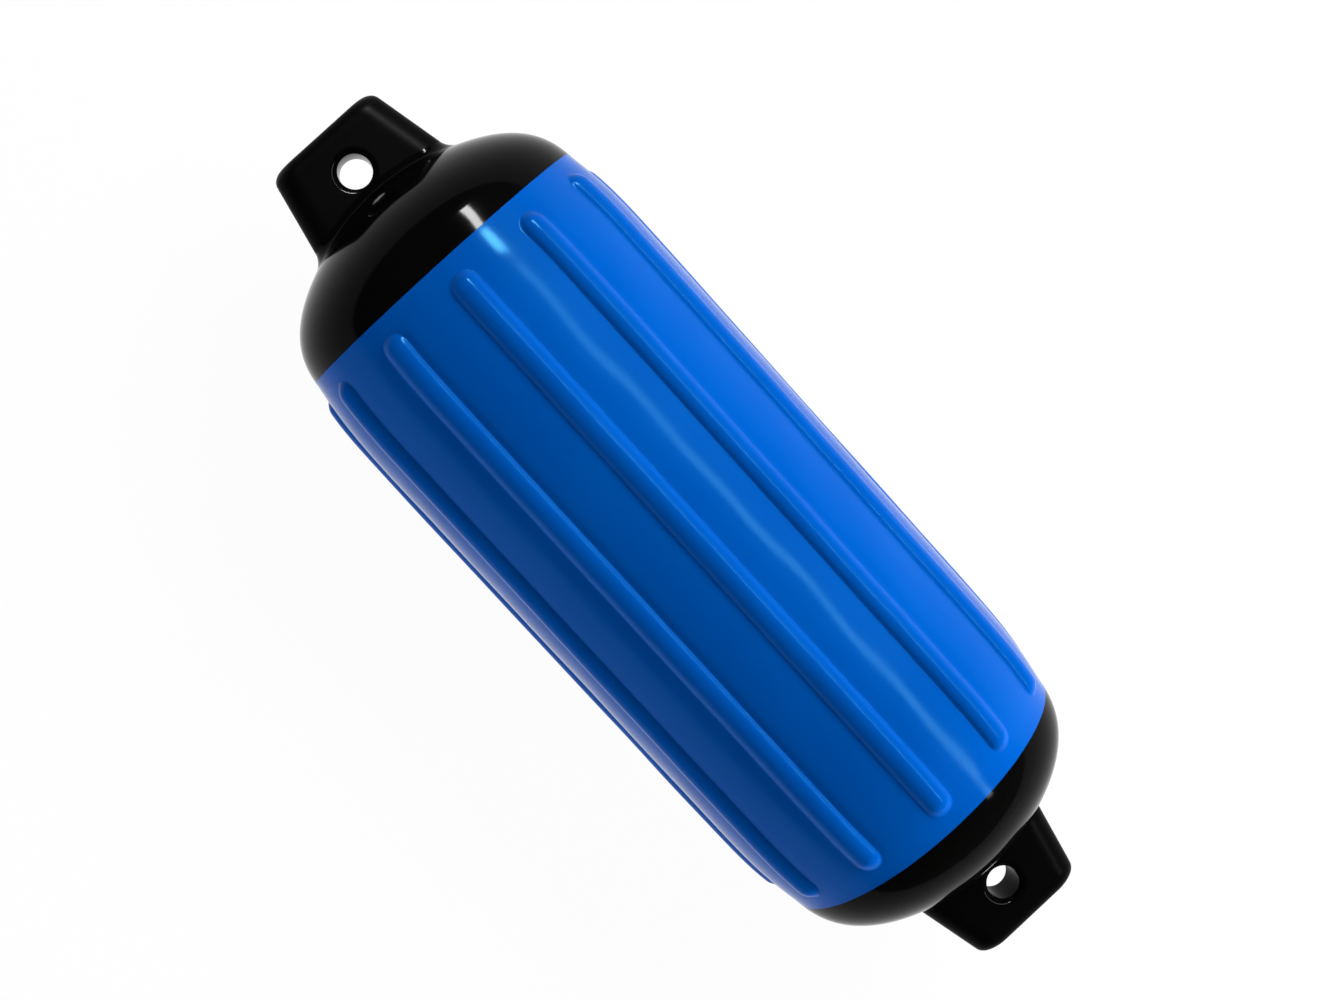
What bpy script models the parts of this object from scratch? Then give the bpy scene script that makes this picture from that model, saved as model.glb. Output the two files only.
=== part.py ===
"""An inflatable boat fender: a ribbed blue barrel between two black moulded ends, each with an eye plate.

Metres, +Z up. The fender lies on two neighbouring ribs with its plates level, its length along X, and the
origin is on the floor under its middle. Its own frame has X along the fender, Y across an eye plate and Z
out of the plate's face.
"""

import math

import bpy
import numpy as np

# Barrel, lengths in metres
BARREL_RADIUS = 0.106  # to the skin between the ribs, where the domes start
STRAIGHT_LENGTH = 0.4134  # between the starts of the two domes
JOINT_PAST_STRAIGHT = 0.0181  # how far the blue runs on into each shoulder, to its joint
WALL = 0.0035

# Swell of the blown-up barrel over that radius
SWELL = 0.0476  # share of the radius, at the middle
SWELL_PAST_STRAIGHT = 0.0168  # where it has died away
SWELL_POWER = 13.0  # the higher, the flatter the middle and the shorter the fall

# Ribs, parallel to the axis with half-round ends
RIB_ANGLES = (0, 29.6, 59.2, 99, 131.4, 163.8, 196.2, 228.6, 261, 300.8, 330.4)  # from +Z towards +Y
RIB_TO_JOINT = 0.0105  # from a rib's tip to the joint
RIB_HEIGHT = 0.0050
RIB_CREST_RADIUS = 0.0106
RIB_FOOT_RADIUS = 0.0012  # hollow where a rib meets the skin

# Domes: a superellipse turned about the axis
DOME_RISE = 0.0799  # from the end of the straight sides to the pole
DOME_POWER_ALONG = 3.03
DOME_POWER_ACROSS = 1.56

# Joint between the barrel and an end: a lap ring that plugs the barrel's bore
LAP_LENGTH = 0.012
LAP_WALL = 0.003
LAP_ROOT = 0.004  # how far the ring's full thickness runs on inside the dome
LAP_CHAMFER = 0.005
BORE_STEP = 0.012  # over which the bore widens, behind the ring, to follow the swell
SEAT_GAP = 0.0003  # clearance between pieces that touch

# Eye plate, moulded with the dome
PLATE_REACH = 0.0472  # from the dome's pole to the plate's outer edge
PLATE_WIDTH = 0.094  # at the eye
PLATE_TAPER = 12.7  # degrees, each side, narrowing outwards
PLATE_THICKNESS = 0.040
PLATE_CORNER = 0.008  # outer corners, seen on the face
PLATE_SIDE_ROUND = 0.015  # rounding of the side edges
PLATE_TIP_ROUND = 0.010  # rounding of the outer edge
ROOT_FLARE = 0.006  # flare where the plate grows out of the dome
EYE_DIAMETER = 0.0215
EYE_TO_TIP = 0.0310
EYE_LIP = 0.0045  # rounded mouth of the eye
LIP_TURN = 70.0  # degrees of that rounding, which then runs out into the face

# Inflation valve, in the back of the top end's dome
VALVE_OFFSET = 0.062  # from the fender's axis
BOSS_RADIUS = 0.0145
BOSS_HEIGHT = 0.0015
BOSS_DEPTH = 0.006
BOSS_BEVEL = 0.001
FLANGE_RADIUS = 0.0110
FLANGE_THICKNESS = 0.0022
FLANGE_BEVEL = 0.0008
STEM_RADIUS = 0.0065
STEM_LENGTH = 0.012
AIRWAY_RADIUS = 0.0026
SCREW_HEAD_RADIUS = 0.0048
SCREW_HEAD_THICKNESS = 0.0020
SCREW_SHANK_RADIUS = 0.0023
SCREW_SHANK_LENGTH = 0.008
SCREW_SLOT_WIDTH = 0.0012
SCREW_SLOT_DEPTH = 0.0009
WASHER_THICKNESS = 0.0010

# How finely the round forms are divided
RIB_STATIONS = (-1.0, -0.86, -0.5, 0.0, 0.5, 0.86, 1.0)  # across a rib, in half widths
SWELL_STATIONS = (0.6, 0.8, 0.905)  # rows along the barrel, as shares of SHOULDER_X
VALLEY_STEP = 7.5  # degrees, at most
SHOULDER_STEPS = 2
DOME_COLUMNS = 52
DOME_STEPS = 10
CAVITY_STEPS = 6
PLATE_CORNER_STEPS = 4
FLARE_HEIGHTS = (-1.0, 0.0, 0.25, 0.55, 1.0)  # rows up the flare, in flare heights
TIP_TURNS = (0.0, 30.0, 55.0, 75.0, 90.0)  # degrees round the outer edge
EYE_COLUMNS = 24
LIP_STEPS = 3
VALVE_COLUMNS = 32

# Values that follow from those above
SHOULDER_X = STRAIGHT_LENGTH / 2
JOINT_X = SHOULDER_X + JOINT_PAST_STRAIGHT
SWELL_END_X = SHOULDER_X + SWELL_PAST_STRAIGHT
MIDDLE_RADIUS = BARREL_RADIUS * (1 + SWELL)
TURNED_IN = (JOINT_PAST_STRAIGHT / DOME_RISE) ** DOME_POWER_ALONG
JOINT_RADIUS = BARREL_RADIUS * (1 - TURNED_IN) ** (1 / DOME_POWER_ACROSS)
CREST_AND_FOOT = RIB_CREST_RADIUS + RIB_FOOT_RADIUS
RIB_HALF_WIDTH = math.sqrt(RIB_HEIGHT * (2 * CREST_AND_FOOT - RIB_HEIGHT))  # to where its foot ends
RIB_END_X = JOINT_X - RIB_TO_JOINT
RIB_END_CENTRE_X = RIB_END_X - RIB_HALF_WIDTH  # centre of a rib's half-round end
POLE_X = SHOULDER_X + DOME_RISE
TIP_X = POLE_X + PLATE_REACH
EYE_X = TIP_X - EYE_TO_TIP
BORE_RADIUS = JOINT_RADIUS - WALL
LAP_RADIUS = BORE_RADIUS - SEAT_GAP
PLATE_SLOPE = math.tan(math.radians(PLATE_TAPER))


def skin_radius(x):
    """Radius of the skin at a distance x along the fender: the swollen barrel, then the dome."""
    share = np.clip((np.abs(x) - SHOULDER_X) / DOME_RISE, 0, 1)
    fall = np.clip(np.abs(x) / SWELL_END_X, 0, 1) ** SWELL_POWER
    swollen = BARREL_RADIUS * (1 + SWELL * (1 - fall) ** 2)
    return swollen * (1 - share**DOME_POWER_ALONG) ** (1 / DOME_POWER_ACROSS)


def dome_height(radius):
    """The inverse of skin_radius past the joint: how far along the fender the dome is at a radius."""
    share = np.clip(1 - (radius / BARREL_RADIUS) ** DOME_POWER_ACROSS, 0, 1)
    return SHOULDER_X + DOME_RISE * share ** (1 / DOME_POWER_ALONG)


def dome_profile(start_x, steps, radius=BARREL_RADIUS, rise=DOME_RISE):
    """(x, radius) points from start_x to the pole, evenly turned round the superellipse."""
    start = math.asin(((start_x - SHOULDER_X) / rise) ** (DOME_POWER_ALONG / 2))
    turn = np.linspace(start, math.pi / 2, steps + 1)
    x = SHOULDER_X + rise * np.sin(turn) ** (2 / DOME_POWER_ALONG)
    r = radius * np.clip(np.cos(turn), 0, 1) ** (2 / DOME_POWER_ACROSS)
    r[-1] = 0
    return list(zip(x, r))


def rib_section(distance):
    """Height of a rib at a distance from its centre line: a round crest, then a hollow foot."""
    foot_start = RIB_HALF_WIDTH * RIB_CREST_RADIUS / CREST_AND_FOOT
    crest = np.sqrt(np.clip(RIB_CREST_RADIUS**2 - distance**2, 0, None)) - RIB_CREST_RADIUS + RIB_HEIGHT
    into_foot = np.clip(RIB_HALF_WIDTH - distance, 0, RIB_FOOT_RADIUS)
    foot = RIB_FOOT_RADIUS - np.sqrt(RIB_FOOT_RADIUS**2 - into_foot**2)
    return np.where(distance < foot_start, crest, foot)


def rib_height(x, angle):
    """Height of the ribs over the skin, from the distance to the nearest rib's centre line."""
    centres = np.radians(RIB_ANGLES)
    turn = np.asarray(angle)[..., None] - centres
    off_centre = np.abs((turn + math.pi) % (2 * math.pi) - math.pi).min(axis=-1)
    along = np.maximum(np.abs(x) - RIB_END_CENTRE_X, 0)
    return rib_section(np.hypot(MIDDLE_RADIUS * off_centre, along))


def barrel_angles():
    """Angles of the barrel's columns: close together over each rib, wider across each valley."""
    half_rib = RIB_HALF_WIDTH / MIDDLE_RADIUS
    centres = np.radians(RIB_ANGLES)
    following = np.append(centres[1:], 2 * math.pi)
    angles = []
    for centre, after in zip(centres, following):
        width = after - centre - 2 * half_rib
        steps = math.ceil(width / math.radians(VALLEY_STEP))
        valley = np.linspace(centre + half_rib, after - half_rib, steps + 1)[1:-1]
        angles += [centre + half_rib * np.array(RIB_STATIONS), valley]
    return np.concatenate(angles)


def barrel_stations():
    """Distances along the barrel of its rows: over the swell, round each rib's end, down each shoulder."""
    swell = SHOULDER_X * np.array(SWELL_STATIONS)
    outward = [s for s in RIB_STATIONS if s >= 0]
    tips = [RIB_END_CENTRE_X + s * RIB_HALF_WIDTH for s in outward]
    shoulder = np.linspace(RIB_END_X, JOINT_X, SHOULDER_STEPS + 1)[1:]
    half = np.concatenate([swell, tips, shoulder])
    return np.concatenate([-half[::-1], half])


def resting_height():
    """Height of the axis over the floor, from the lowest column of the barrel."""
    angle = barrel_angles()
    radius = skin_radius(0.0) + rib_height(0.0, angle)
    return float(np.max(-radius * np.cos(angle)))


def about_axis(x, radius, angle):
    """Points of the fender's frame from a distance along it, a radius and an angle from +Z towards +Y."""
    x, radius, angle = np.broadcast_arrays(x, radius, angle)
    return np.stack([x, radius * np.sin(angle), radius * np.cos(angle)], axis=-1)


def material(name, colour, roughness):
    made = bpy.data.materials.new(name)
    made.use_nodes = True
    shader = made.node_tree.nodes["Principled BSDF"]
    shader.inputs["Base Color"].default_value = (*colour, 1.0)
    shader.inputs["Roughness"].default_value = roughness
    shader.inputs["Metallic"].default_value = 0.0
    return made


def add_object(name, points, faces, finish=None, parent=None):
    """A mesh object from its points and faces, shaded smooth apart from its sharp edges."""
    mesh = bpy.data.meshes.new(name)
    mesh.from_pydata([tuple(p) for p in points], [], faces)
    mesh.shade_smooth()
    mesh.set_sharp_from_angle(angle=math.radians(38))
    made = bpy.data.objects.new(name, mesh)
    bpy.context.scene.collection.objects.link(made)
    if finish:
        mesh.materials.append(finish)
    if parent:
        made.parent = parent
    return made


def as_cutter(made):
    """Marks a helper that only shapes other objects."""
    made.hide_render = True
    made.display_type = "WIRE"
    return made


def combine(target, helper, operation):
    step = target.modifiers.new(helper.name, "BOOLEAN")
    step.operation = operation
    step.object = helper


def ring_faces(rows, columns, closed_rows=False):
    """Quads between neighbouring rings of points, which are numbered row by row."""
    faces = []
    for row in range(rows if closed_rows else rows - 1):
        below = row * columns
        above = (row + 1) % rows * columns
        for column in range(columns):
            after = (column + 1) % columns
            faces.append((below + column, above + column, above + after, below + after))
    return faces


def loft(name, rings, finish=None, parent=None):
    """A solid through closed rings of points, (rows, columns, 3), with a flat cap at each end."""
    rows, columns = rings.shape[:2]
    faces = ring_faces(rows, columns)
    faces.append(tuple(range(columns)))
    faces.append(tuple(reversed(range((rows - 1) * columns, rows * columns))))
    return add_object(name, rings.reshape(-1, 3), faces, finish, parent)


def revolve(name, profile, columns, finish=None, parent=None):
    """A solid turned about X from (x, radius) points that start and end on the axis."""
    inner = np.array(profile[1:-1])
    angle = np.linspace(0, 2 * math.pi, columns, endpoint=False)
    rings = about_axis(inner[:, :1], inner[:, 1:], angle)
    rows = len(inner)
    points = np.vstack([rings.reshape(-1, 3), [[profile[0][0], 0, 0], [profile[-1][0], 0, 0]]])
    first_pole = rows * columns
    last_pole = first_pole + 1
    faces = ring_faces(rows, columns)
    last_row = (rows - 1) * columns
    for column in range(columns):
        after = (column + 1) % columns
        faces.append((first_pole, column, after))
        faces.append((last_pole, last_row + after, last_row + column))
    return add_object(name, points, faces, finish, parent)


def revolve_ring(name, section, columns, finish=None, parent=None):
    """A ring turned about X from a closed section of (x, radius) points that stays off the axis."""
    section = np.array(section)
    angle = np.linspace(0, 2 * math.pi, columns, endpoint=False)
    rings = about_axis(section[:, :1], section[:, 1:], angle)
    faces = ring_faces(len(section), columns, closed_rows=True)
    return add_object(name, rings.reshape(-1, 3), faces, finish, parent)


def build_barrel(finish, parent):
    """The ribbed tube: an outer skin with the ribs, and a bore that follows the swell past each lap ring."""
    angle = barrel_angles()
    station = barrel_stations()[:, None]
    skin = about_axis(station, skin_radius(station) + rib_height(station, angle), angle)
    seat_x = JOINT_X - LAP_LENGTH - SEAT_GAP
    bore_x = np.array([JOINT_X, seat_x, seat_x - BORE_STEP, SHOULDER_X * SWELL_STATIONS[0]])
    bore_radius = np.concatenate([[BORE_RADIUS, BORE_RADIUS], skin_radius(bore_x[2:]) - WALL])
    both_x = np.concatenate([bore_x, -bore_x[::-1]])[:, None]
    both_radius = np.concatenate([bore_radius, bore_radius[::-1]])[:, None]
    bore = about_axis(both_x, both_radius, angle)
    rings = np.concatenate([skin, bore])
    faces = ring_faces(len(rings), len(angle), closed_rows=True)
    return add_object("barrel", rings.reshape(-1, 3), faces, finish, parent)


def plate_half_width(x):
    """Half the plate's width: a straight taper, then the arc of an outer corner."""
    tip_half = PLATE_WIDTH / 2 - PLATE_SLOPE * EYE_TO_TIP
    centre_x = TIP_X - PLATE_CORNER
    centre_y = tip_half + PLATE_SLOPE * PLATE_CORNER - PLATE_CORNER * math.hypot(1, PLATE_SLOPE)
    tangent_x = centre_x + PLATE_CORNER * math.sin(math.radians(PLATE_TAPER))
    arc = centre_y + np.sqrt(np.clip(PLATE_CORNER**2 - (x - centre_x) ** 2, 0, None))
    return np.where(x < tangent_x, tip_half + PLATE_SLOPE * (TIP_X - x), arc)


def plate_section(half_width, half_thickness, corner):
    """(y, z) round the plate's section, a rectangle with rounded corners, one point per column."""
    turn = np.radians(np.linspace(0, 90, PLATE_CORNER_STEPS + 1))
    angle = np.concatenate([turn, turn + math.pi / 2, turn + math.pi, turn + 1.5 * math.pi])
    side_y = np.repeat([1, -1, -1, 1], len(turn))
    side_z = np.repeat([1, 1, -1, -1], len(turn))
    y = side_y * (half_width - corner) + corner * np.cos(angle)
    z = side_z * (half_thickness - corner) + corner * np.sin(angle)
    return y, z


def build_plate(parent):
    """The eye plate as a loft: flared rows that follow the dome, then flat rows round the outer edge."""
    columns = 4 * (PLATE_CORNER_STEPS + 1)
    rings = []
    for share in FLARE_HEIGHTS:
        lift = share * ROOT_FLARE
        flare = ROOT_FLARE * (1 - max(share, 0)) ** 2
        x = np.full(columns, POLE_X)
        for _ in range(4):
            y, z = plate_section(
                plate_half_width(x) + flare,
                PLATE_THICKNESS / 2 + flare,
                PLATE_SIDE_ROUND + flare,
            )
            x = dome_height(np.hypot(y, z)) + lift
        rings.append(np.stack([x, y, z], axis=-1))
    for turn in np.radians(TIP_TURNS):
        x = np.full(columns, TIP_X - PLATE_TIP_ROUND * (1 - math.sin(turn)))
        half_thickness = PLATE_THICKNESS / 2 - PLATE_TIP_ROUND * (1 - math.cos(turn))
        corner = min(PLATE_SIDE_ROUND, half_thickness)
        y, z = plate_section(plate_half_width(x), half_thickness, corner)
        rings.append(np.stack([x, y, z], axis=-1))
    return as_cutter(loft("plate_shape", np.array(rings)[:, ::-1], parent=parent))


def eye_profile():
    """(distance along the eye, radius) of the hole, with a rounded mouth at each face."""
    radius = EYE_DIAMETER / 2
    turn = np.radians(np.linspace(0, LIP_TURN, LIP_STEPS + 1))
    reach = EYE_LIP * np.sin(turn)
    mouth = radius + EYE_LIP * (1 - np.cos(turn))
    throat = PLATE_THICKNESS / 2 - reach[-1]
    past_face = (PLATE_THICKNESS / 2 + EYE_LIP, mouth[-1] + EYE_LIP)
    half = [(throat + d, r) for d, r in zip(reach, mouth)] + [past_face]
    other = [(-d, r) for d, r in reversed(half)]
    return [(other[0][0], 0)] + other + half + [(half[-1][0], 0)]


def build_end(name, finish, parent, turned):
    """A moulded end: lap ring, dome and eye plate in one, hollow behind the dome."""
    frame = bpy.data.objects.new(name + "_frame", None)
    bpy.context.scene.collection.objects.link(frame)
    frame.parent = parent
    frame.rotation_euler = (0, 0, math.pi if turned else 0)
    face_x = JOINT_X + SEAT_GAP
    mouth_x = JOINT_X - LAP_LENGTH
    outer = [(mouth_x, 0), (mouth_x, LAP_RADIUS), (face_x, LAP_RADIUS)]
    outer += dome_profile(face_x, DOME_STEPS)
    made = revolve(name, outer, DOME_COLUMNS, finish, frame)
    lap_bore = LAP_RADIUS - LAP_WALL
    hollow_x = JOINT_X + LAP_ROOT + LAP_CHAMFER
    hollow = [(mouth_x - LAP_WALL, 0), (mouth_x - LAP_WALL, lap_bore), (JOINT_X + LAP_ROOT, lap_bore)]
    hollow += dome_profile(hollow_x, CAVITY_STEPS, BARREL_RADIUS - WALL, DOME_RISE - WALL)
    cavity = as_cutter(revolve(name + "_hollow", hollow, DOME_COLUMNS, parent=frame))
    plate = build_plate(frame)
    plate.name = name + "_plate"
    eye = as_cutter(revolve(name + "_eye", eye_profile(), EYE_COLUMNS, parent=frame))
    eye.location = (EYE_X, 0, 0)
    eye.rotation_euler = (0, -math.pi / 2, 0)
    combine(made, plate, "UNION")
    combine(made, eye, "DIFFERENCE")
    return made, frame, cavity


def valve_frame(parent):
    """An empty on the back of the dome, whose X leaves the dome at a right angle."""
    step = BARREL_RADIUS / 1000
    rise = dome_height(VALVE_OFFSET + step) - dome_height(VALVE_OFFSET - step)
    lean = math.atan2(-rise, 2 * step)
    frame = bpy.data.objects.new("valve_axis", None)
    bpy.context.scene.collection.objects.link(frame)
    frame.parent = parent
    frame.location = (float(dome_height(VALVE_OFFSET)), 0, -VALVE_OFFSET)
    frame.rotation_euler = (0, lean, 0)
    return frame


def build_valve(top_end, top_frame, finishes):
    """Boss and hole in the dome, the valve's flanged insert, and the screw and washer that close it."""
    frame = valve_frame(top_frame)
    boss = [
        (-BOSS_DEPTH, 0),
        (-BOSS_DEPTH, BOSS_RADIUS),
        (BOSS_HEIGHT - BOSS_BEVEL, BOSS_RADIUS),
        (BOSS_HEIGHT, BOSS_RADIUS - BOSS_BEVEL),
        (BOSS_HEIGHT, 0),
    ]
    combine(top_end, as_cutter(revolve("boss_shape", boss, VALVE_COLUMNS, parent=frame)), "UNION")
    hole_radius = STEM_RADIUS + SEAT_GAP
    hole = [(-STEM_LENGTH, 0), (-STEM_LENGTH, hole_radius), (STEM_LENGTH, hole_radius), (STEM_LENGTH, 0)]
    hole_cutter = as_cutter(revolve("valve_hole", hole, VALVE_COLUMNS, parent=frame))

    seat_x = BOSS_HEIGHT + SEAT_GAP
    top_x = seat_x + FLANGE_THICKNESS
    washer_x = top_x - SCREW_HEAD_THICKNESS - WASHER_THICKNESS - SEAT_GAP
    floor_x = washer_x - SEAT_GAP
    recess_radius = SCREW_HEAD_RADIUS + SEAT_GAP
    insert = [
        (seat_x - STEM_LENGTH, AIRWAY_RADIUS),
        (seat_x - STEM_LENGTH, STEM_RADIUS),
        (seat_x, STEM_RADIUS),
        (seat_x, FLANGE_RADIUS),
        (top_x - FLANGE_BEVEL, FLANGE_RADIUS),
        (top_x, FLANGE_RADIUS - FLANGE_BEVEL),
        (top_x, recess_radius),
        (floor_x, recess_radius),
        (floor_x, AIRWAY_RADIUS),
    ]
    revolve_ring("valve_insert", insert, VALVE_COLUMNS, finishes["valve"], frame)
    washer = [
        (washer_x, AIRWAY_RADIUS),
        (washer_x, SCREW_HEAD_RADIUS),
        (washer_x + WASHER_THICKNESS, SCREW_HEAD_RADIUS),
        (washer_x + WASHER_THICKNESS, AIRWAY_RADIUS),
    ]
    revolve_ring("valve_washer", washer, VALVE_COLUMNS, finishes["washer"], frame)
    head_x = washer_x + WASHER_THICKNESS + SEAT_GAP
    screw = [
        (head_x - SCREW_SHANK_LENGTH, 0),
        (head_x - SCREW_SHANK_LENGTH, SCREW_SHANK_RADIUS),
        (head_x, SCREW_SHANK_RADIUS),
        (head_x, SCREW_HEAD_RADIUS),
        (top_x, SCREW_HEAD_RADIUS),
        (top_x, 0),
    ]
    screw_object = revolve("valve_screw", screw, VALVE_COLUMNS, finishes["valve"], frame)
    slot_length = 3 * SCREW_HEAD_RADIUS
    slot = as_cutter(build_box("slot_shape", SCREW_SLOT_DEPTH, SCREW_SLOT_WIDTH, slot_length, frame))
    slot.location = (top_x, 0, 0)
    combine(screw_object, slot, "DIFFERENCE")
    return hole_cutter


def build_box(name, half_x, width_y, length_z, parent):
    """A box centred on its own origin."""
    corner = np.array([[x, y, z] for x in (-1, 1) for y in (-1, 1) for z in (-1, 1)])
    points = corner * (half_x, width_y / 2, length_z / 2)
    faces = [(0, 1, 3, 2), (4, 6, 7, 5), (0, 4, 5, 1), (2, 3, 7, 6), (0, 2, 6, 4), (1, 5, 7, 3)]
    return add_object(name, points, faces, parent=parent)


def main():
    for old in list(bpy.data.objects):
        bpy.data.objects.remove(old, do_unlink=True)
    blue = material("blue_vinyl", (0.005, 0.13, 0.60), 0.22)
    black = material("black_vinyl", (0.006, 0.006, 0.007), 0.18)
    finishes = {
        "valve": material("valve_nylon", (0.02, 0.02, 0.022), 0.45),
        "washer": material("valve_rubber", (0.01, 0.01, 0.01), 0.7),
    }
    axis = bpy.data.objects.new("fender_axis", None)
    bpy.context.scene.collection.objects.link(axis)
    axis.location = (0, 0, resting_height())
    build_barrel(blue, axis)
    bottom_end, _, bottom_cavity = build_end("bottom_end", black, axis, turned=False)
    combine(bottom_end, bottom_cavity, "DIFFERENCE")
    top_end, top_frame, top_cavity = build_end("top_end", black, axis, turned=True)
    valve_hole = build_valve(top_end, top_frame, finishes)
    combine(top_end, top_cavity, "DIFFERENCE")
    combine(top_end, valve_hole, "DIFFERENCE")


main()
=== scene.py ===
# An inflatable boat fender, dressed for the studio: a ribbed blue barrel, and two black ends with an eye plate each
import math

import bpy
import numpy as np
from mathutils import Matrix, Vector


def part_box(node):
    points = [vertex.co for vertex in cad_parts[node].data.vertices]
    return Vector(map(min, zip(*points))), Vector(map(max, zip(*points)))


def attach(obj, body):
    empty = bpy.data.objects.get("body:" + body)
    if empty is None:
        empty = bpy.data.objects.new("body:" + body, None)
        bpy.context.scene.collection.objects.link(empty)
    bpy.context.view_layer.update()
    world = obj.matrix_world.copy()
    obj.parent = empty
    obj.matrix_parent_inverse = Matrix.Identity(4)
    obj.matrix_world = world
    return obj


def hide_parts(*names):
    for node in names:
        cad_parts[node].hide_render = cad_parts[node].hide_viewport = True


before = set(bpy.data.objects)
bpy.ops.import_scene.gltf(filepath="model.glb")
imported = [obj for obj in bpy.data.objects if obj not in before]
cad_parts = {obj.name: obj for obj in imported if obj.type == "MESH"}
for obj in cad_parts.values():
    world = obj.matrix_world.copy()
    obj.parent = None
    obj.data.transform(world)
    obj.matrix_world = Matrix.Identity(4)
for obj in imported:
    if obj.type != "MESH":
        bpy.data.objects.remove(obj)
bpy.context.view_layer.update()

print("fender: the frame is in")

# What every piece shares, in metres and degrees
fender = {
    "skinRadius": 0.106,  # before the barrel's swell
    "straightHalf": 0.2067,  # where the domes start
    "domeRise": 0.0799,
    "powerAlong": 3.03,  # the two powers of the superellipse that turns the domes
    "powerAcross": 1.56,
    "swell": 0.0476,  # of the blown-up barrel, as a share of the radius
    "swellEnd": 0.2235,  # where it has died away, and how late it starts to
    "swellPower": 13.0,
    "jointX": 0.2248,  # the colour line
    "jointGap": 0.00004,
    "wall": 0.0035,
    "ribHeight": 0.0050,
    "crispAngle": 40.0,  # an edge that turns by more than this stays crisp
}
middleRadius = fender["skinRadius"] * (1 + fender["swell"])
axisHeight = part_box("barrel")[1][2] - middleRadius - fender["ribHeight"]
poleX = fender["straightHalf"] + fender["domeRise"]


# From the fender's own frame (X along it, Y across a plate, Z out of the plate's face) to the room
def placed(points):
    return points + np.array([0, 0, axisHeight])


# Turned half round, for the end at the other side
def turnedRound(points):
    return points * np.array([-1.0, -1.0, 1.0])


# Straight sides, then a superellipse to the pole: with s the share of the dome's rise that x has gone, the radius
# is the skin's times (1 - s to powerAlong) to 1/powerAcross. The barrel's sides swell over that by the share swell,
# which dies away just before the joint.
def skinRadius(x):
    share = np.clip((np.abs(x) - fender["straightHalf"]) / fender["domeRise"], 0, 1)
    fall = np.clip(np.abs(x) / fender["swellEnd"], 0, 1) ** fender["swellPower"]
    swollen = fender["skinRadius"] * (1 + fender["swell"] * (1 - fall) ** 2)
    return swollen * (1 - share ** fender["powerAlong"]) ** (1 / fender["powerAcross"])


# The same superellipse read the other way: how far along the fender the dome is at a radius
def domeReach(radius):
    share = np.clip(1 - (radius / fender["skinRadius"]) ** fender["powerAcross"], 0, 1)
    return fender["straightHalf"] + fender["domeRise"] * share ** (1 / fender["powerAlong"])


# A point at x along, a radius out, and an angle from +Z towards +Y
def roundAxis(x, radius, angle):
    x, radius, angle = np.broadcast_arrays(x, radius, angle)
    return np.stack([x, radius * np.sin(angle), radius * np.cos(angle)], axis=-1)


# Quads between neighbouring rings, each ring closed on itself; a closed set also joins its last ring to its first
def ringQuads(rows, columns, closed=False):
    row = np.arange(rows if closed else rows - 1)[:, None]
    column = np.arange(columns)[None, :]
    after = (column + 1) % columns
    below, above = row * columns, (row + 1) % rows * columns
    quads = np.stack([below + column, above + column, above + after, below + after], axis=-1)
    return quads.reshape(-1, 4)


# A smooth piece from a grid of points and a list of faces
def makePiece(name, points, faces, finish):
    mesh = bpy.data.meshes.new(name)
    mesh.from_pydata(points.reshape(-1, 3).tolist(), [], faces)
    mesh.validate()
    mesh.shade_smooth()
    mesh.set_sharp_from_angle(angle=math.radians(fender["crispAngle"]))
    if finish:
        mesh.materials.append(finish)
    piece = bpy.data.objects.new(name, mesh)
    bpy.context.scene.collection.objects.link(piece)
    return piece


skinPattern = {
    "broadScale": 9.0,  # patches of tone and gloss, about 0.1 m across
    "broadDetail": 3.0,
    "patchRange": (0.3, 0.7),  # the part of the noise that spans the roughness
    "fineDetail": 2.0,
    "bumpDepth": 0.0001,
}


# Node group: the uneven skin of moulded vinyl. It gives a height for a Bump node, a roughness and a tone mask.
def vinylSkinGroup():
    group = bpy.data.node_groups.new("mouldedVinylSkin", "ShaderNodeTree")
    group.interface.new_socket("Position", in_out="INPUT", socket_type="NodeSocketVector")
    for name in ("Grain size", "Smoothest", "Roughest"):
        group.interface.new_socket(name, in_out="INPUT", socket_type="NodeSocketFloat")
    for name in ("Height", "Roughness", "Tone"):
        group.interface.new_socket(name, in_out="OUTPUT", socket_type="NodeSocketFloat")
    nodes, links = group.nodes, group.links
    given, put = nodes.new("NodeGroupInput"), nodes.new("NodeGroupOutput")
    broad, fine = nodes.new("ShaderNodeTexNoise"), nodes.new("ShaderNodeTexNoise")
    broad.inputs["Scale"].default_value = skinPattern["broadScale"]
    broad.inputs["Detail"].default_value = skinPattern["broadDetail"]
    fine.inputs["Detail"].default_value = skinPattern["fineDetail"]
    links.new(given.outputs["Position"], broad.inputs["Vector"])
    links.new(given.outputs["Position"], fine.inputs["Vector"])
    links.new(given.outputs["Grain size"], fine.inputs["Scale"])
    spread = nodes.new("ShaderNodeMapRange")
    spread.inputs["From Min"].default_value, spread.inputs["From Max"].default_value = skinPattern["patchRange"]
    links.new(broad.outputs["Fac"], spread.inputs["Value"])
    links.new(given.outputs["Smoothest"], spread.inputs["To Min"])
    links.new(given.outputs["Roughest"], spread.inputs["To Max"])
    links.new(spread.outputs["Result"], put.inputs["Roughness"])
    links.new(fine.outputs["Fac"], put.inputs["Height"])
    links.new(broad.outputs["Fac"], put.inputs["Tone"])
    return group


vinylSkin = vinylSkinGroup()

white = (1.0, 1.0, 1.0)
blackTones = {"dark": (0.001, 0.001, 0.001), "light": (0.0018, 0.0016, 0.0015)}
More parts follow.
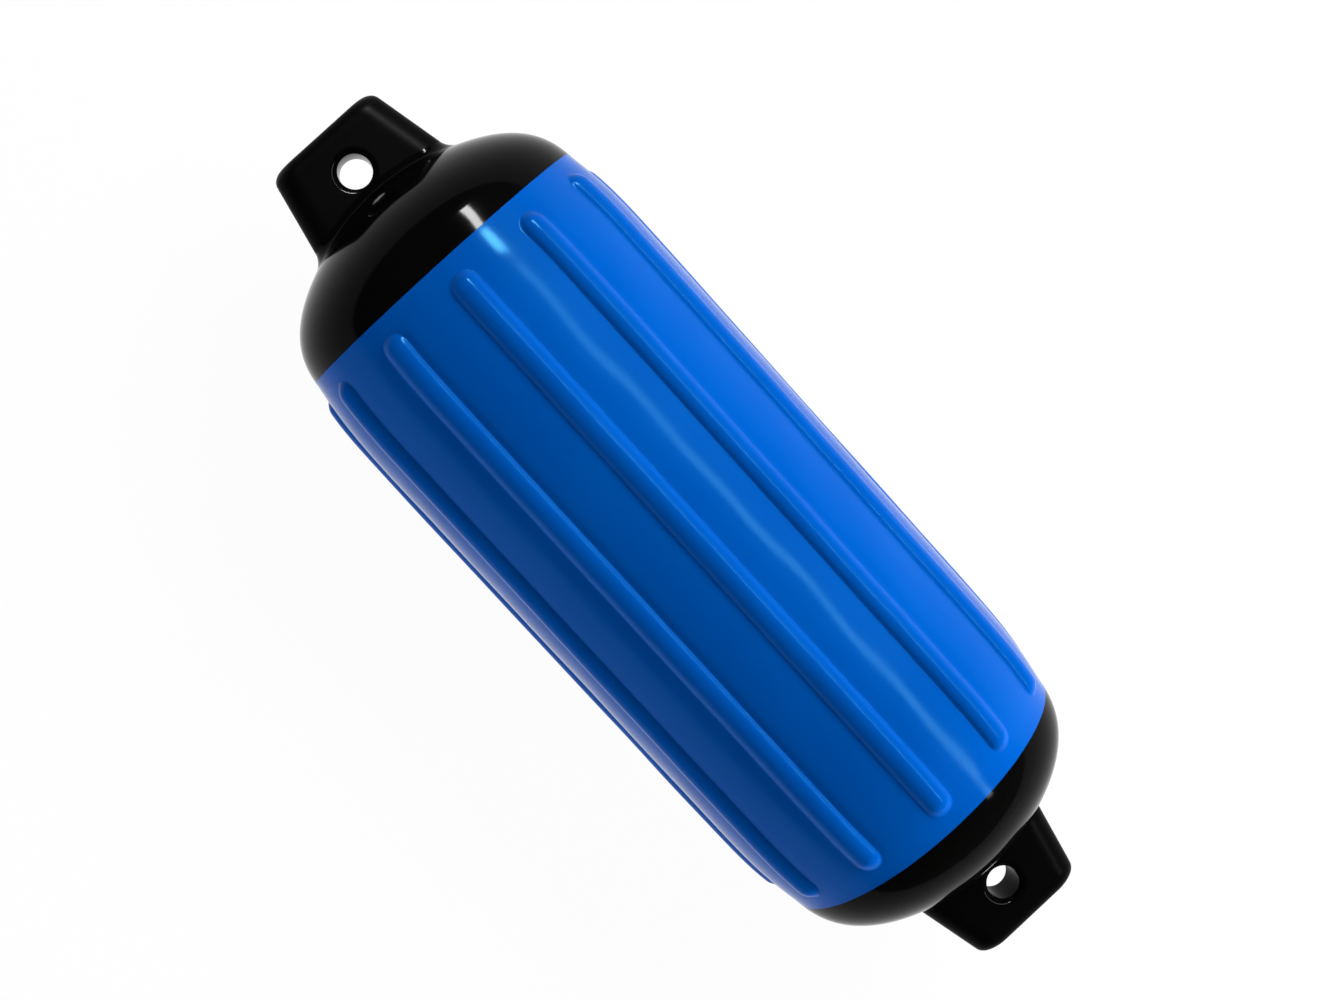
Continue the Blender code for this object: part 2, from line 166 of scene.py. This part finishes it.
# Each finish: its dark and light tone, its roughness, the grain's scale and bump, and its shine (0.5 is plain gloss)
finishes = {
    "blueVinyl": {
        "dark": (0.0, 0.056, 0.30), "light": (0.0, 0.072, 0.35), "smoothest": 0.10, "roughest": 0.19,
        "grain": 900, "bump": 0.05, "shine": 0.05, "tint": (0.12, 0.65, 1.0),
    },
    "blackVinyl": {
        **blackTones, "smoothest": 0.07, "roughest": 0.13,
        "grain": 900, "bump": 0.05, "shine": 0.035, "tint": white,
    },
    "plateVinyl": {
        **blackTones, "smoothest": 0.34, "roughest": 0.42,
        "grain": 900, "bump": 0.05, "shine": 0.015, "tint": white,
    },
    "boreVinyl": {
        **blackTones, "smoothest": 0.07, "roughest": 0.13,
        "grain": 900, "bump": 0.05, "shine": 0.005, "tint": white,
    },
    "valveNylon": {
        "dark": (0.012, 0.012, 0.013), "light": (0.02, 0.02, 0.021), "smoothest": 0.4, "roughest": 0.5,
        "grain": 1500, "bump": 0.15, "shine": 0.5, "tint": white,
    },
    "valveRubber": {
        "dark": (0.006, 0.006, 0.006), "light": (0.01, 0.01, 0.01), "smoothest": 0.6, "roughest": 0.7,
        "grain": 1500, "bump": 0.2, "shine": 0.5, "tint": white,
    },
}


# One of the finishes as a material: the skin group's tone, roughness and height on a plastic
def vinylFinish(name):
    look = finishes[name]
    finish = bpy.data.materials.new(name)
    finish.use_nodes = True
    nodes, links = finish.node_tree.nodes, finish.node_tree.links
    shader = nodes["Principled BSDF"]
    where = nodes.new("ShaderNodeTexCoord")
    skin = nodes.new("ShaderNodeGroup")
    skin.node_tree = vinylSkin
    skin.inputs["Grain size"].default_value = look["grain"]
    skin.inputs["Smoothest"].default_value = look["smoothest"]
    skin.inputs["Roughest"].default_value = look["roughest"]
    links.new(where.outputs["Object"], skin.inputs["Position"])
    tone = nodes.new("ShaderNodeMix")
    tone.data_type = "RGBA"
    tone.inputs["A"].default_value = (*look["dark"], 1)
    tone.inputs["B"].default_value = (*look["light"], 1)
    links.new(skin.outputs["Tone"], tone.inputs["Factor"])
    links.new(tone.outputs["Result"], shader.inputs["Base Color"])
    links.new(skin.outputs["Roughness"], shader.inputs["Roughness"])
    relief = nodes.new("ShaderNodeBump")
    relief.inputs["Strength"].default_value = look["bump"]
    relief.inputs["Distance"].default_value = skinPattern["bumpDepth"]
    links.new(skin.outputs["Height"], relief.inputs["Height"])
    links.new(relief.outputs["Normal"], shader.inputs["Normal"])
    shader.inputs["IOR"].default_value = 1.5
    shader.inputs["Specular IOR Level"].default_value = look["shine"]
    shader.inputs["Specular Tint"].default_value = (*look["tint"], 1)
    return finish


blueVinyl = vinylFinish("blueVinyl")
blackVinyl = vinylFinish("blackVinyl")
plateVinyl = vinylFinish("plateVinyl")
boreVinyl = vinylFinish("boreVinyl")
valveNylon = vinylFinish("valveNylon")
valveRubber = vinylFinish("valveRubber")
print("fender: finishes are made")

barrel = {
    "ribAngles": (0, 29.6, 59.2, 99, 131.4, 163.8, 196.2, 228.6, 261, 300.8, 330.4),
    "ribEndX": 0.2143,
    "crestRadius": 0.0106,
    "footRadius": 0.0012,  # fillet where a rib meets the skin
    "overRib": 26,  # columns over a rib, and across the valley beside it
    "acrossValley": 14,
    "middleRows": 39,
    "tipRows": 16,
    "shoulderRows": 8,
    "seatLength": 0.0123,  # the bore's even mouth, which the lap ring plugs
    "seatEase": 0.012,  # and the length over which the bore then widens
    "boreMiddle": 0.12,
    "waveSize": 0.00022,
    "waveSeed": 11,
    "waveCount": 26,
    "waveAlong": (8, 95),  # radians per metre
    "waveTurns": 15,  # whole turns round the barrel stay under this
    "waveStrength": (0.3, 1.0),
    "waveFade": 0.02,  # the waves die away over this length before a joint
}
crestPlusFoot = barrel["crestRadius"] + barrel["footRadius"]
footOut = math.sqrt(fender["ribHeight"] * (2 * crestPlusFoot - fender["ribHeight"]))  # where the fillet ends
footMeets = footOut * barrel["crestRadius"] / crestPlusFoot  # where it starts


# Height over the skin at a distance from a rib's centre line: a round crest, then a small hollow fillet
def ribSection(distance):
    crest = np.sqrt(np.clip(barrel["crestRadius"] ** 2 - distance**2, 0, None))
    crest = crest - (barrel["crestRadius"] - fender["ribHeight"])
    out = np.clip(footOut - distance, 0, barrel["footRadius"])
    foot = barrel["footRadius"] - np.sqrt(barrel["footRadius"] ** 2 - out**2)
    return np.where(distance < footMeets, crest, foot)


# Distance to the nearest rib's centre line, whose ends are half round, turned into height by the section
def ribHeight(x, angle):
    centres = np.radians(barrel["ribAngles"])
    off = (angle[..., None] - centres + math.pi) % (2 * math.pi) - math.pi
    across = middleRadius * np.abs(off).min(axis=-1)
    along = np.maximum(np.abs(x) - (barrel["ribEndX"] - footOut), 0)
    return ribSection(np.hypot(across, along))


# Low waves in the moulded skin: cosines of x and of whole turns round the axis, each with its own seeded phase
def skinWaves(x, angle):
    draw = np.random.default_rng(barrel["waveSeed"])
    height = np.zeros(np.broadcast(x, angle).shape)
    for _ in range(barrel["waveCount"]):
        alongRate = draw.uniform(*barrel["waveAlong"])
        roundTurns = draw.integers(0, barrel["waveTurns"])
        phase, strength = draw.uniform(0, 2 * math.pi), draw.uniform(*barrel["waveStrength"])
        height = height + strength * np.cos(alongRate * x + roundTurns * angle + phase)
    return height * barrel["waveSize"] / math.sqrt(barrel["waveCount"])


# Half a sine and half an even spacing of a quarter turn: steps that close up towards a rib's foot
def closingUp(turn):
    return 0.5 * (np.sin(turn) + turn / (math.pi / 2))


# The barrel's columns: each rib's own, and even ones across the valley to the next rib
def barrelAngles():
    half = footOut / middleRadius
    overRib = half * closingUp(np.linspace(-math.pi / 2, math.pi / 2, barrel["overRib"] + 1))
    centres = np.radians(sorted(barrel["ribAngles"]))
    parts = []
    for centre, following in zip(centres, np.append(centres[1:], centres[0] + 2 * math.pi)):
        valley = np.linspace(centre + half, following - half, barrel["acrossValley"] + 1)[1:-1]
        parts += [centre + overRib, valley]
    return np.concatenate(parts)


# The barrel's rows: even along the ribs, closing up over their round tips, then even to the joint, on both sides
def barrelStations():
    centreX = barrel["ribEndX"] - footOut
    tip = centreX + footOut * closingUp(np.linspace(0, math.pi / 2, barrel["tipRows"] + 1))
    middle = np.linspace(0, centreX, barrel["middleRows"] + 1)[:-1]
    shoulder = np.linspace(barrel["ribEndX"], fender["jointX"], barrel["shoulderRows"] + 1)[1:]
    half = np.concatenate([middle, tip, shoulder])
    return np.concatenate([-half[:0:-1], half])


# The skin is the radius plus ribs and waves at each row and column; the bore lies a wall under it, with a seat at
# each mouth that is as wide as the joint's ring, and rings of both are joined into one closed tube
def makeBarrel():
    angle = barrelAngles()[None, :]
    x = barrelStations()[:, None]
    fade = np.clip((fender["jointX"] - np.abs(x)) / barrel["waveFade"], 0, 1)
    skin = roundAxis(x, skinRadius(x) + ribHeight(x, angle) + skinWaves(x, angle) * fade, angle)
    jointX = fender["jointX"]
    seatX = jointX - barrel["seatLength"]
    wideX = [seatX - barrel["seatEase"], barrel["boreMiddle"]]
    boreX = np.array([jointX, seatX, *wideX])
    boreRadius = skinRadius(np.array([jointX, jointX, *wideX])) - fender["wall"]
    boreX = np.concatenate([boreX, -boreX[::-1]])[:, None]
    bore = roundAxis(boreX, np.concatenate([boreRadius, boreRadius[::-1]])[:, None], angle)
    rings = placed(np.concatenate([skin, bore]))
    quads = ringQuads(len(rings), rings.shape[1], closed=True)
    return makePiece("ribbedBarrel", rings, quads.tolist(), blueVinyl)


ribbedBarrel = makeBarrel()
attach(ribbedBarrel, "root")
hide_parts("barrel")
print("fender: barrel", len(ribbedBarrel.data.polygons))

moulding = {
    "reach": 0.0472,  # of the plate past the dome's pole
    "widthAtEye": 0.094,
    "taper": 12.7,  # of each side edge, towards the tip
    "thickness": 0.040,
    "corner": 0.008,  # of the plate's outline
    "sideRound": 0.015,
    "tipRound": 0.010,
    "flare": 0.006,  # fillet where the plate meets the dome
    "eyeDiameter": 0.0215,
    "eyeToTip": 0.0310,
    "eyeLip": 0.0045,
    "lipTurn": 84.0,  # how far the arc of an eye's mouth turns
    "lapLength": 0.012,
    "lapWall": 0.003,
    "lapInside": 0.004,  # how far past the joint the lap's inner wall goes
    "seatGap": 0.0003,
    "hollowTurns": (24, 89),  # the part of the dome that the hollow follows
    "faceColumns": 56,
    "roundColumns": 14,
    "edgeColumns": 6,
    "eyeColumns": 96,
    "domeRows": 46,
    "flareRows": 9,
    "plateRows": 26,
    "tipRows": 10,
    "lipRows": 12,
    "hollowRows": 9,
    "angleEase": 1.5,  # of the columns, from even at the joint to the plate's own at its foot
    "footSteps": 30,  # of the search for the plate's foot
    "cutPast": 0.002,  # how far the eye's cutter stands out of the plate
    "boreMargin": 0.0002,  # a face that is no further out than this counts as bore
}
tipX = poleX + moulding["reach"]
eyeX = tipX - moulding["eyeToTip"]
plateSlope = math.tan(math.radians(moulding["taper"]))
halfThickness = moulding["thickness"] / 2


# Half the plate's width: a straight taper, then the arc of an outer corner
def plateHalfWidth(x):
    corner = moulding["corner"]
    tipHalf = moulding["widthAtEye"] / 2 - plateSlope * moulding["eyeToTip"]
    centreX = tipX - corner
    centreY = tipHalf + plateSlope * corner - corner * math.hypot(1, plateSlope)
    tangentX = centreX + corner * math.sin(math.radians(moulding["taper"]))
    arc = centreY + np.sqrt(np.clip(corner**2 - (x - centreX) ** 2, 0, None))
    return np.where(x < tangentX, tipHalf + plateSlope * (tipX - x), arc)


# Round a rectangle with rounded corners, column by column: the share of the half width, the share of the half
# thickness, and the turn round the corner that the column belongs to
def sectionShares():
    face = np.linspace(-1, 1, moulding["faceColumns"] + 1)[:-1]
    edge = np.linspace(-1, 1, moulding["edgeColumns"] + 1)[:-1]
    turn = np.linspace(0, math.pi / 2, moulding["roundColumns"] + 1)[:-1]
    flatY, flatZ, arcTurn = [], [], []
    for quarter, (signY, signZ) in enumerate([(1, 1), (-1, 1), (-1, -1), (1, -1)]):
        start = quarter * math.pi / 2
        if quarter % 2 == 0:  # along a side edge
            flatY.append(np.full(len(edge), float(signY)))
            flatZ.append(edge * signZ)
            arcTurn.append(np.full(len(edge), start))
        else:  # along a face
            flatY.append(face * signY)
            flatZ.append(np.full(len(face), float(signZ)))
            arcTurn.append(np.full(len(face), start))
        flatY.append(np.full(len(turn), float(signY)))  # then round the corner
        flatZ.append(np.full(len(turn), float(signZ)))
        arcTurn.append(start + turn)
    return np.concatenate(flatY), np.concatenate(flatZ), np.concatenate(arcTurn)


shareY, shareZ, cornerTurn = sectionShares()


# A ring of the plate at x: the shares reach to the corners' centres, and each corner's turn adds its radius.
# Widening moves the ring outwards all round.
def plateRing(x, widen=0.0, half=halfThickness, corner=moulding["sideRound"]):
    corner = corner + widen
    y = shareY * (plateHalfWidth(x) + widen - corner) + corner * np.cos(cornerTurn)
    z = shareZ * (half + widen - corner) + corner * np.sin(cornerTurn)
    return np.stack([np.broadcast_to(x, y.shape), y, z], axis=-1)


# Where the plate's section, widened, meets the lifted dome: x goes half way to the dome's at (y, z), many times
def footRing(widen, lift):
    x = np.full(len(shareY), poleX)
    for _ in range(moulding["footSteps"]):
        points = plateRing(x, widen)
        x = 0.5 * x + 0.5 * (domeReach(np.hypot(points[:, 1], points[:, 2])) + lift)
    return plateRing(x, widen)


# Rows over the dome: the radius and the angle of each column go from the joint's ring to the plate's foot
def domeRings(foot):
    jointX = fender["jointX"] + fender["jointGap"]
    footRadius = np.hypot(foot[:, 1], foot[:, 2])
    footAngle = np.unwrap(np.arctan2(foot[:, 2], foot[:, 1]))
    evenAngle = footAngle[0] + np.linspace(0, 2 * math.pi, len(footAngle), endpoint=False)
    evenAngle += np.mean(footAngle - evenAngle)
    startTurn = math.acos((skinRadius(jointX) / fender["skinRadius"]) ** (fender["powerAcross"] / 2))
    endTurn = np.arccos((footRadius / fender["skinRadius"]) ** (fender["powerAcross"] / 2))
    share = np.linspace(0, 1, moulding["domeRows"] + 1)[:, None]
    turn = startTurn + (endTurn - startTurn) * share
    radius = fender["skinRadius"] * np.cos(turn) ** (2 / fender["powerAcross"])
    angle = evenAngle + (footAngle - evenAngle) * share ** moulding["angleEase"]
    return np.stack([domeReach(radius), radius * np.cos(angle), radius * np.sin(angle)], axis=-1)


# The moulding's outer rings: over the dome, round the flare, along the plate, and round its tip as quarter turns
def endRings():
    flare, tipRound = moulding["flare"], moulding["tipRound"]
    rings = list(domeRings(footRing(flare, 0.0))[:-1])
    for turn in np.linspace(0, math.pi / 2, moulding["flareRows"] + 1):
        rings.append(footRing(flare * (1 - math.sin(turn)), flare * (1 - math.cos(turn))))
    top = rings[-1][:, 0]
    for share in np.linspace(0, 1, moulding["plateRows"] + 1)[1:]:
        rings.append(plateRing(top + (tipX - tipRound - top) * share))
    for turn in np.linspace(0, math.pi / 2, moulding["tipRows"] + 1)[1:]:
        x = np.full(len(shareY), tipX - tipRound * (1 - math.sin(turn)))
        half = halfThickness - tipRound * (1 - math.cos(turn))
        rings.append(plateRing(x, 0.0, half, min(moulding["sideRound"], half)))
    return np.array(rings)


# Behind the dome: the joint's face, the lap ring, and the hollow, a dome that is smaller by the wall
def innerRings(jointAngle):
    joint = fender["jointX"] + fender["jointGap"]
    lapOuter = skinRadius(fender["jointX"]) - fender["wall"] - moulding["seatGap"]
    lapInner = lapOuter - moulding["lapWall"]
    mouth = fender["jointX"] - moulding["lapLength"]
    lapEnd = fender["jointX"] + moulding["lapInside"]
    profile = [(joint, lapOuter), (mouth, lapOuter), (mouth, lapInner), (lapEnd, lapInner)]
    rise, wide = fender["domeRise"] - fender["wall"], fender["skinRadius"] - fender["wall"]
    first, last = np.radians(moulding["hollowTurns"])
    for turn in np.linspace(first, last, moulding["hollowRows"]):
        x = fender["straightHalf"] + rise * math.sin(turn) ** (2 / fender["powerAlong"])
        profile.append((x, wide * math.cos(turn) ** (2 / fender["powerAcross"])))
    x, radius = np.array(profile).T[:, :, None]
    x, radius, angle = np.broadcast_arrays(x, radius, jointAngle[None, :])
    return np.stack([x, radius * np.cos(angle), radius * np.sin(angle)], axis=-1)


# A round solid for a cut or a join: a profile of (along, radius) turned round its axis, closed by flat caps
def cutterFrom(name, profile, columns, place):
    turn = np.linspace(0, 2 * math.pi, columns, endpoint=False)
    along, radius = np.array(profile).T[:, :, None]
    along, radius, turn = np.broadcast_arrays(along, radius, turn)
    rings = place(np.stack([along, radius * np.sin(turn), radius * np.cos(turn)], axis=-1))
    first = np.arange(columns)
    last = first[::-1] + (len(rings) - 1) * columns
    faces = ringQuads(len(rings), columns).tolist() + [first.tolist(), last.tolist()]
    return makePiece(name, rings, faces, None)


# The cut or join, made at once, so that no modifier stays on the piece
def cutBy(piece, helper, operation):
    step = piece.modifiers.new(helper.name, "BOOLEAN")
    step.operation = operation
    step.object = helper
    step.solver = "EXACT"
    bpy.context.view_layer.update()
    graph = bpy.context.evaluated_depsgraph_get()
    cut = bpy.data.meshes.new_from_object(piece.evaluated_get(graph), depsgraph=graph)
    piece.modifiers.clear()
    piece.data = cut
    bpy.data.objects.remove(helper, do_unlink=True)


# The eye as (distance along it, radius): a straight bore, and an arc that opens into a mouth at each face
def eyeProfile():
    radius, lip = moulding["eyeDiameter"] / 2, moulding["eyeLip"]
    turn = np.radians(np.linspace(0, moulding["lipTurn"], moulding["lipRows"] + 1))
    reach, mouth = lip * np.sin(turn), radius + lip * (1 - np.cos(turn))
    throat = halfThickness - reach[-1]
    half = [(throat + d, r) for d, r in zip(reach, mouth)]
    slope = math.tan(math.radians(90 - moulding["lipTurn"]))
    half.append((half[-1][0] + moulding["cutPast"] * slope, half[-1][1] + moulding["cutPast"]))
    return [(-d, r) for d, r in reversed(half)] + half


# The eye's bore, which a core moulds, has less shine than the skin
def dullTheBore(piece, middle):
    piece.data.materials.append(boreVinyl)
    limit = moulding["eyeDiameter"] / 2 + moulding["boreMargin"]
    for face in piece.data.polygons:
        if math.hypot(face.center.x - middle[0], face.center.y - middle[1]) < limit:
            face.material_index = 2


# One end: inner and outer rings in a row, closed at both ends, with a duller plate and the eye cut through it
def makeEnd(name, finish, turned):
    turnIn = turnedRound if turned else (lambda points: points)

    def placeEye(p):
        return placed(turnIn(np.stack([eyeX - p[..., 2], p[..., 1], p[..., 0]], axis=-1)))

    outer = endRings()
    inner = innerRings(np.arctan2(outer[0][:, 2], outer[0][:, 1]))
    rings = np.concatenate([inner[::-1], outer])
    rows, columns = rings.shape[:2]
    first = np.arange(columns)
    tip, innerEnd = (rows - 1) * columns + first, first[::-1]
    faces = ringQuads(rows, columns)[:, ::-1].tolist() + [tip.tolist(), innerEnd.tolist()]
    piece = makePiece(name, placed(turnIn(rings)), faces, finish)
    piece.data.materials.append(plateVinyl)
    firstPlateRow = len(inner) + moulding["domeRows"] + moulding["flareRows"]
    for face in piece.data.polygons[firstPlateRow * columns:-1]:
        face.material_index = 1
    cutBy(piece, cutterFrom("eyeShape", eyeProfile(), moulding["eyeColumns"], placeEye), "DIFFERENCE")
    dullTheBore(piece, placed(turnIn(np.array([eyeX, 0.0, 0.0]))))
    return piece


valveSeat = {
    "offset": 0.062,  # from the fender's axis, towards the back
    "bossRadius": 0.0145,
    "bossHeight": 0.0015,
    "bossEdge": 0.001,
    "bossDepth": 0.006,
    "bossColumns": 96,
    "edgeRows": 6,
    "holeRadius": 0.0068,
    "holeReach": (-0.02, 0.01),  # along the boss, from in the hollow to the open air
    "holeColumns": 72,
    "slopeStep": 0.0001,  # for the dome's slope under the boss
}


# A low round boss on the back of the top end's dome, and the hole that the valve's insert stands in. They stand on
# the dome's normal, whose turn is that of the dome's slope at the offset.
def addValveSeat(piece):
    step, offset = valveSeat["slopeStep"], valveSeat["offset"]
    rise = (domeReach(offset + step) - domeReach(offset - step)) / (2 * step)
    turn = math.atan(-rise)
    out = np.array([math.cos(turn), 0, -math.sin(turn)])
    side, up = np.array([0, 1.0, 0]), np.array([math.sin(turn), 0, math.cos(turn)])
    foot = np.array([domeReach(offset), 0, -offset])

    def placeSeat(p):
        return placed(turnedRound(foot + p[..., :1] * out + p[..., 1:2] * side + p[..., 2:] * up))

    radius, height, edge = valveSeat["bossRadius"], valveSeat["bossHeight"], valveSeat["bossEdge"]
    bend = np.radians(np.linspace(0, 90, valveSeat["edgeRows"] + 1))
    rim = [(height - edge + edge * math.sin(b), radius - edge + edge * math.cos(b)) for b in bend]
    boss = [(-valveSeat["bossDepth"], radius)] + rim
    cutBy(piece, cutterFrom("bossShape", boss, valveSeat["bossColumns"], placeSeat), "UNION")
    hole = [(along, valveSeat["holeRadius"]) for along in valveSeat["holeReach"]]
    cutBy(piece, cutterFrom("valveHole", hole, valveSeat["holeColumns"], placeSeat), "DIFFERENCE")


for name, node, turned in (("topEnd", "top_end", True), ("bottomEnd", "bottom_end", False)):
    end = makeEnd(name, blackVinyl, turned)
    if turned:
        addValveSeat(end)
    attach(end, "root")
    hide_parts(node)
    print("fender:", name, len(end.data.polygons))

# The valve's own solids stay, and only get their finishes
for node, finish in {"valve_insert": valveNylon, "valve_screw": valveNylon, "valve_washer": valveRubber}.items():
    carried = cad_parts[node]
    carried.data.materials.clear()
    carried.data.materials.append(finish)
print("fender: the valve has its finishes")

studio = {
    "cameraAt": (0.006157, 1.29635, 0.179419),  # across, away and towards the top end, from the fender's middle
    "cameraTurn": 2.2,  # round the fender's length
    "pitch": 6.8273,  # back towards the fender's middle
    "pictureTurn": 42.342,  # the fender lies aslant in the picture
    "lens": 55.910,
    "sensor": 36.0,
    "clip": (0.01, 100),
    "worldStrength": 0.08,
}


# The camera stands off the plates' faces, a little towards the top end, and the picture is turned
def makeCamera():
    turn, pitch, picture = (math.radians(studio[k]) for k in ("cameraTurn", "pitch", "pictureTurn"))
    right = np.array([0, math.cos(turn), math.sin(turn)])
    deep = np.array([0, math.sin(turn), -math.cos(turn)])
    high = np.array([-1.0, 0, 0])
    across, away, towardsTop = studio["cameraAt"]
    forward = deep * math.cos(pitch) - high * math.sin(pitch)
    up = deep * math.sin(pitch) + high * math.cos(pitch)
    matrix = np.eye(4)
    matrix[:3, 0] = math.cos(picture) * right - math.sin(picture) * up
    matrix[:3, 1] = math.sin(picture) * right + math.cos(picture) * up
    matrix[:3, 2] = -forward
    matrix[:3, 3] = placed(across * right - away * deep + towardsTop * high)
    lens = bpy.data.cameras.new("photoCamera")
    lens.lens, lens.sensor_width = studio["lens"], studio["sensor"]
    lens.clip_start, lens.clip_end = studio["clip"]
    camera = bpy.data.objects.new("photoCamera", lens)
    camera.matrix_world = Matrix(matrix.tolist())
    bpy.context.scene.collection.objects.link(camera)
    bpy.context.scene.camera = camera


floorCard = {
    "white": 0.82,
    "lift": 0.97,  # how much of the card's colour is lifted to plain white; the rest keeps the shadow
    "flatRings": (0.5, 1.2, 2.0),
    "rimStart": 2.4,
    "rimRound": 0.8,
    "rimTurn": 80,
    "rimRows": 12,
    "columns": 96,
}


# The floor: white card that a camera or a reflection sees lifted towards white, and that keeps its shadow
def floorFinish():
    finish = bpy.data.materials.new("whiteFloor")
    finish.use_nodes = True
    nodes, links = finish.node_tree.nodes, finish.node_tree.links
    nodes.clear()
    card, glow = nodes.new("ShaderNodeBsdfDiffuse"), nodes.new("ShaderNodeEmission")
    card.inputs["Color"].default_value = (*[floorCard["white"]] * 3, 1)
    mix, put = nodes.new("ShaderNodeMixShader"), nodes.new("ShaderNodeOutputMaterial")
    ray = nodes.new("ShaderNodeLightPath")
    either, anySeen, lifted = (nodes.new("ShaderNodeMath") for _ in range(3))
    either.operation = anySeen.operation = "MAXIMUM"
    lifted.operation = "MULTIPLY"
    lifted.inputs[1].default_value = floorCard["lift"]
    links.new(ray.outputs["Is Camera Ray"], either.inputs[0])
    links.new(ray.outputs["Is Glossy Ray"], either.inputs[1])
    links.new(either.outputs[0], anySeen.inputs[0])
    links.new(ray.outputs["Is Transmission Ray"], anySeen.inputs[1])
    links.new(anySeen.outputs[0], lifted.inputs[0])
    links.new(lifted.outputs[0], mix.inputs["Fac"])
    links.new(card.outputs[0], mix.inputs[1])
    links.new(glow.outputs[0], mix.inputs[2])
    links.new(mix.outputs[0], put.inputs["Surface"])
    return finish


# A round floor whose rim turns up into a low backdrop: radius and height of each ring, then turned
def makeFloor():
    rim = np.radians(np.linspace(0, floorCard["rimTurn"], floorCard["rimRows"] + 1))
    columns, flat = floorCard["columns"], floorCard["flatRings"]
    radius = np.concatenate([flat, floorCard["rimStart"] + floorCard["rimRound"] * np.sin(rim)])
    height = np.concatenate([np.zeros(len(flat)), floorCard["rimRound"] * (1 - np.cos(rim))])
    turn = np.linspace(0, 2 * math.pi, columns, endpoint=False)
    radius, height, turn = np.broadcast_arrays(radius[:, None], height[:, None], turn)
    rings = np.stack([radius * np.cos(turn), radius * np.sin(turn), height], axis=-1)
    faces = ringQuads(len(rings), columns)[:, ::-1].tolist() + [list(range(columns))]
    floor = makePiece("studioFloor", rings, faces, floorFinish())


# The softboxes light the colours, and the strips make only the long highlights
lamps = {
    "keySoftbox": {"spot": (-0.2, 1.5, 1.5), "size": (2.0, 1.0), "power": 76, "strip": False},
    "fillSoftbox": {"spot": (0.0, -2.2, 0.18), "size": (2.4, 0.36), "power": 33, "strip": False},
    "lowerSoftbox": {
        "spot": (2.2, 0.6, 0.3), "size": (0.5, 0.9), "power": 90, "strip": False, "longWay": (0, 0, 1),
    },
    "shoulderStrip": {
        "spot": (-1.055, 0.94, 1.30), "size": (0.9, 0.17), "power": 110, "strip": True,
        "longWay": (0.73, 0.10, 0.48), "target": (-0.23, 0.03, 0.21),
    },
    "longStrip": {"spot": (0.35, 0.975, 1.56), "size": (1.9, 0.15), "power": 34, "strip": True},
}


# An area lamp that looks from its spot to its target (the fender's middle) and lies along its long way
def makeLamp(name, spot, size, power, strip, longWay=(1, 0, 0), target=(0, 0, axisHeight)):
    light = bpy.data.lights.new(name, "AREA")
    light.shape = "RECTANGLE"
    light.size, light.size_y = size
    light.energy = power
    lamp = bpy.data.objects.new(name, light)
    spot, target = np.array(spot, float), np.array(target, float)
    back = (spot - target) / np.linalg.norm(spot - target)
    side = np.array(longWay, float) - np.dot(longWay, back) * back
    side /= np.linalg.norm(side)
    matrix = np.eye(4)
    matrix[:3, 0], matrix[:3, 1], matrix[:3, 2], matrix[:3, 3] = side, np.cross(back, side), back, spot
    lamp.matrix_world = Matrix(matrix.tolist())
    lamp.visible_glossy, lamp.visible_diffuse = strip, not strip
    bpy.context.scene.collection.objects.link(lamp)


makeCamera()
makeFloor()
for name, lamp in lamps.items():
    makeLamp(name, **lamp)
world = bpy.data.worlds.new("studioWorld")
world.use_nodes = True
world.node_tree.nodes["Background"].inputs["Color"].default_value = (1, 1, 1, 1)
world.node_tree.nodes["Background"].inputs["Strength"].default_value = studio["worldStrength"]
bpy.context.scene.world = world
bpy.context.scene.view_settings.view_transform = "Standard"
print("fender: studio is set")
